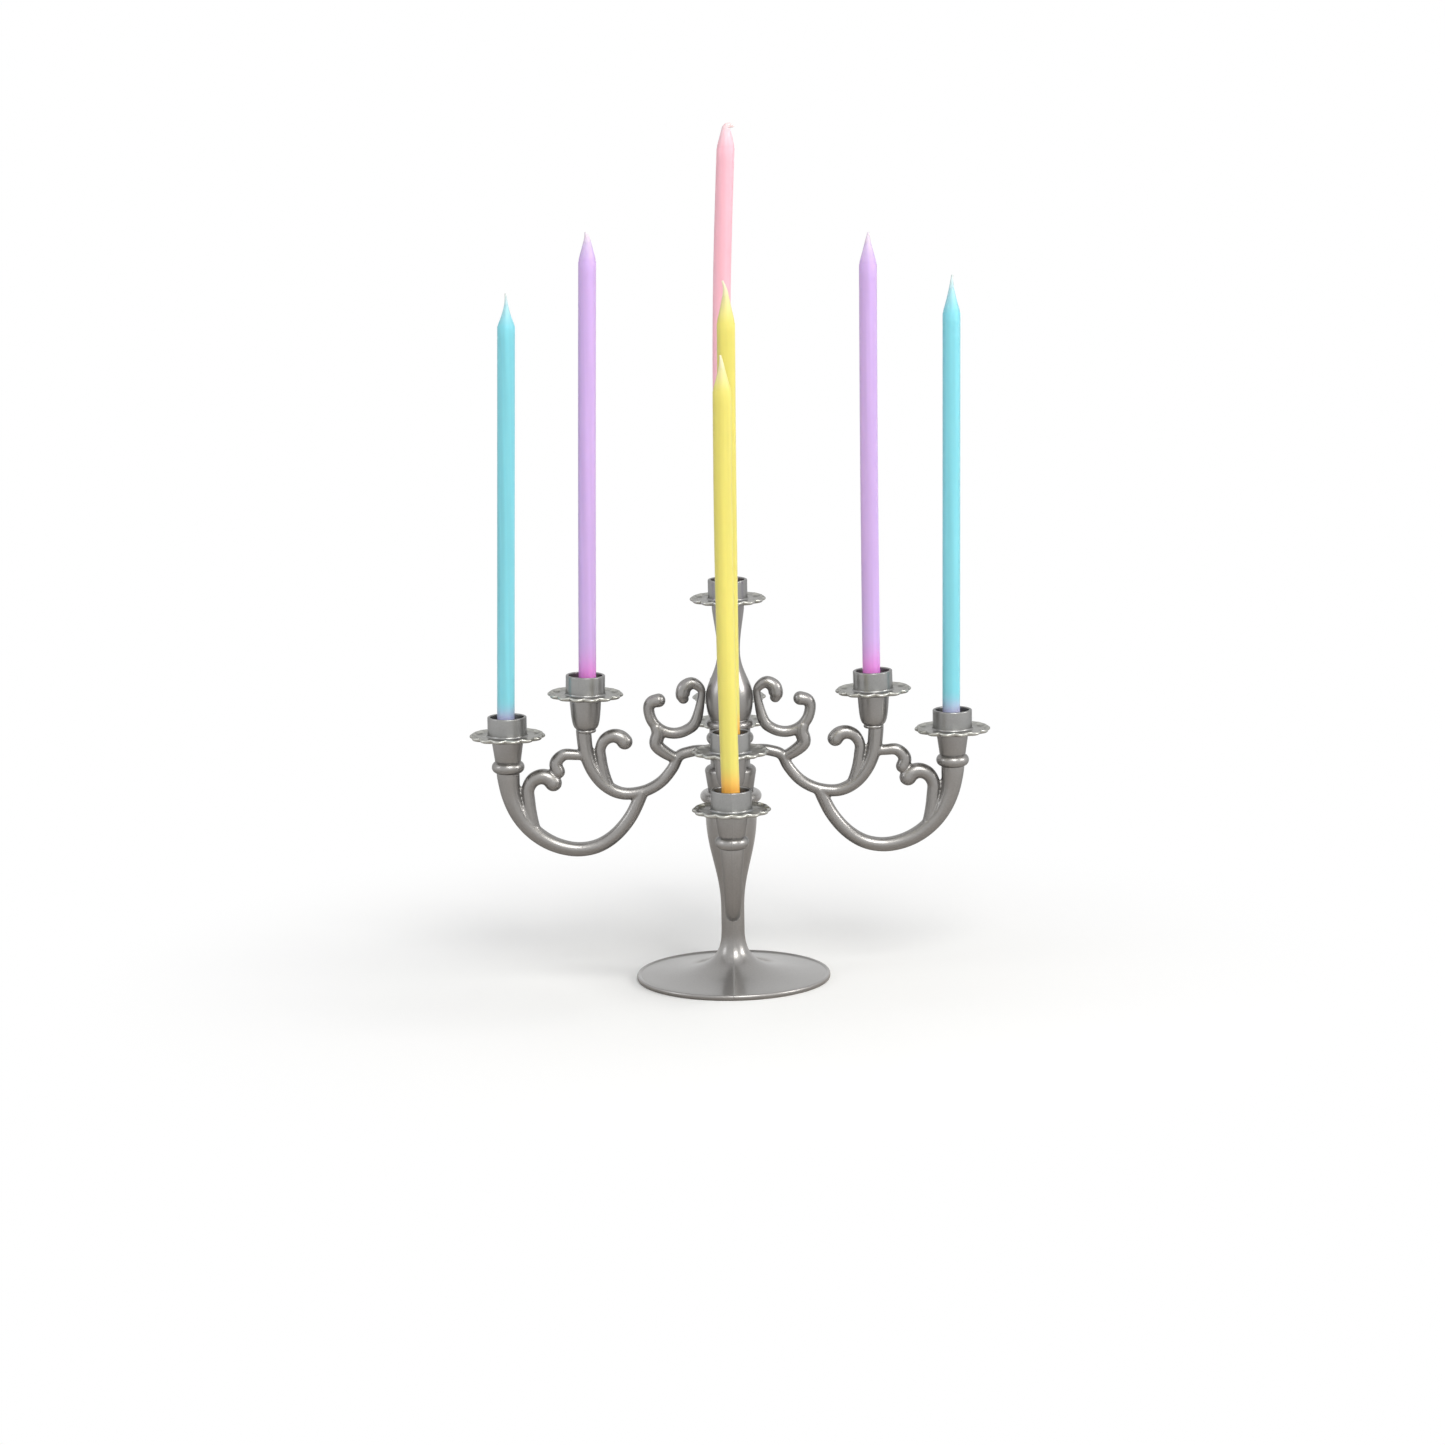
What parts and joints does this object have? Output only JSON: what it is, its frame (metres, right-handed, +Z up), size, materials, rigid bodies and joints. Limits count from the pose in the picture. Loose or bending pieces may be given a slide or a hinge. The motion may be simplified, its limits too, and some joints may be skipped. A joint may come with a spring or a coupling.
{
  "type": "candelabra",
  "caption": "Tabletop candelabra with crossed scrolled arms on a baluster stem, scalloped drip pans and thin cake candles in its cups.",
  "frame": {"origin": "middle of the foot's underside, on the surface it stands on", "axes": "+Z up along the stem, +X to the right along the upper pair of arms, -Y to the front along the lower pair of arms"},
  "size_m": [0.1522, 0.1518, 0.2511],
  "materials": {
    "silver_plastic": "satin silver-grey moulded plastic",
    "pale_silver_plastic": "satin silver-grey moulded plastic, a shade paler",
    "blue_wax": "smooth candle wax, pale blue turning lavender at the foot",
    "purple_wax": "smooth candle wax, lilac turning hot pink at the foot",
    "pink_wax": "smooth candle wax, pink",
    "yellow_wax": "smooth candle wax, yellow turning orange at the foot",
    "wick": "waxed cotton wick"
  },
  "bodies": {
    "root": {"base": "silver_plastic", "finial": "silver_plastic", "nozzle_top": "pale_silver_plastic"},
    "lower_tier": {"lower_arms": "silver_plastic", "nozzle_front_inner": "pale_silver_plastic", "nozzle_front_outer": "pale_silver_plastic", "nozzle_back_inner": "pale_silver_plastic", "nozzle_back_outer": "pale_silver_plastic"},
    "upper_tier": {"upper_arms": "silver_plastic", "nozzle_left_inner": "pale_silver_plastic", "nozzle_left_outer": "pale_silver_plastic", "nozzle_right_inner": "pale_silver_plastic", "nozzle_right_outer": "pale_silver_plastic"},
    "candle_top_body": {"candle_top": "pink_wax", "wick_top": "wick"},
    "candle_left_inner_body": {"candle_left_inner": "purple_wax", "wick_left_inner": "wick"},
    "candle_left_outer_body": {"candle_left_outer": "blue_wax", "wick_left_outer": "wick"},
    "candle_right_inner_body": {"candle_right_inner": "purple_wax", "wick_right_inner": "wick"},
    "candle_right_outer_body": {"candle_right_outer": "blue_wax", "wick_right_outer": "wick"},
    "candle_front_inner_body": {"candle_front_inner": "yellow_wax", "wick_front_inner": "wick"},
    "candle_front_outer_body": {"candle_front_outer": "yellow_wax", "wick_front_outer": "wick"}
  },
  "joints": [
    {"name": "lower_tier_swivel", "type": "hinge", "parent": "root", "child": "lower_tier", "pos_m": [0, 0, 0.0565], "axis": [0, 0, 1], "continuous": true},
    {"name": "upper_tier_swivel", "type": "hinge", "parent": "lower_tier", "child": "upper_tier", "pos_m": [0, 0, 0.06585], "axis": [0, 0, 1], "range_deg": [-60, 60]},
    {"name": "candle_top_lift", "type": "slide", "parent": "root", "child": "candle_top_body", "axis": [0, 0, 1], "range_m": [0, 0.02]},
    {"name": "candle_left_inner_lift", "type": "slide", "parent": "upper_tier", "child": "candle_left_inner_body", "axis": [0, 0, 1], "range_m": [0, 0.02]},
    {"name": "candle_left_outer_lift", "type": "slide", "parent": "upper_tier", "child": "candle_left_outer_body", "axis": [0, 0, 1], "range_m": [0, 0.02]},
    {"name": "candle_right_inner_lift", "type": "slide", "parent": "upper_tier", "child": "candle_right_inner_body", "axis": [0, 0, 1], "range_m": [0, 0.02]},
    {"name": "candle_right_outer_lift", "type": "slide", "parent": "upper_tier", "child": "candle_right_outer_body", "axis": [0, 0, 1], "range_m": [0, 0.02]},
    {"name": "candle_front_inner_lift", "type": "slide", "parent": "lower_tier", "child": "candle_front_inner_body", "axis": [0, 0, 1], "range_m": [0, 0.02]},
    {"name": "candle_front_outer_lift", "type": "slide", "parent": "lower_tier", "child": "candle_front_outer_body", "axis": [0, 0, 1], "range_m": [0, 0.02]}
  ]
}
